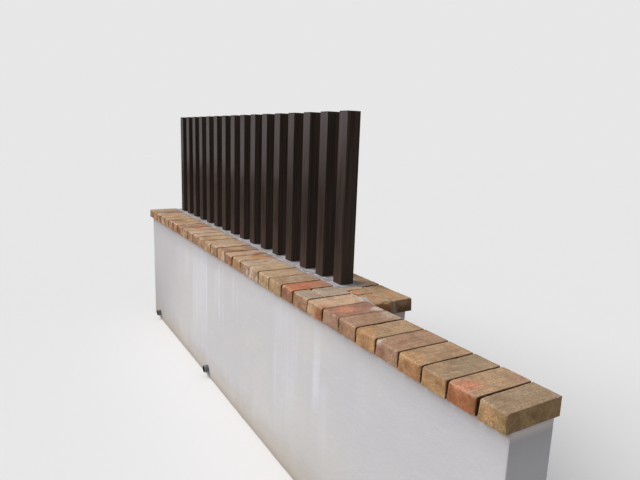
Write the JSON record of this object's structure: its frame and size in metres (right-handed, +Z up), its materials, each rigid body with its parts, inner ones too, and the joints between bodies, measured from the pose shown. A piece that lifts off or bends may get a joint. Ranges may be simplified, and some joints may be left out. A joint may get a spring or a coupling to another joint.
{
  "type": "slatted post fence on a rendered garden wall",
  "caption": "Straight rendered wall with a brick coping and a row of square brown posts planted along its top as an open slatted screen.",
  "frame": {"origin": "on the ground, in the middle of the overall length and depth", "axes": "+X along the wall from its far end to the end that meets a pier, +Y from the rendered face towards the garden, +Z up"},
  "size_m": [3.926, 0.448, 1.737],
  "materials": {
    "post_brown": "satin",
    "cap_brown": "matt",
    "render_white": "trowelled, matt",
    "brick": "worn, matt",
    "mortar": "struck, matt",
    "concrete": "rough, matt",
    "pipe_grey": "matt"
  },
  "bodies": {
    "root": {"coping_course": "brick", "edging_course": "brick", "infill_bricks": "brick", "mortar_bed": "mortar", "post_01": "post_brown", "post_02": "post_brown", "post_03": "post_brown", "post_04": "post_brown", "post_05": "post_brown", "post_06": "post_brown", "post_07": "post_brown", "post_08": "post_brown", "post_09": "post_brown", "post_10": "post_brown", "post_11": "post_brown", "post_12": "post_brown", "post_13": "post_brown", "post_14": "post_brown", "post_15": "post_brown", "post_16": "post_brown", "post_cap_01": "cap_brown", "post_cap_02": "cap_brown", "post_cap_03": "cap_brown", "post_cap_04": "cap_brown", "post_cap_05": "cap_brown", "post_cap_06": "cap_brown", "post_cap_07": "cap_brown", "post_cap_08": "cap_brown", "post_cap_09": "cap_brown", "post_cap_10": "cap_brown", "post_cap_11": "cap_brown", "post_cap_12": "cap_brown", "post_cap_13": "cap_brown", "post_cap_14": "cap_brown", "post_cap_15": "cap_brown", "post_cap_16": "cap_brown", "post_footing": "concrete", "render_coat": "render_white", "wall_core": "concrete", "weep_pipe_1": "pipe_grey", "weep_pipe_2": "pipe_grey"}
  },
  "joints": []
}
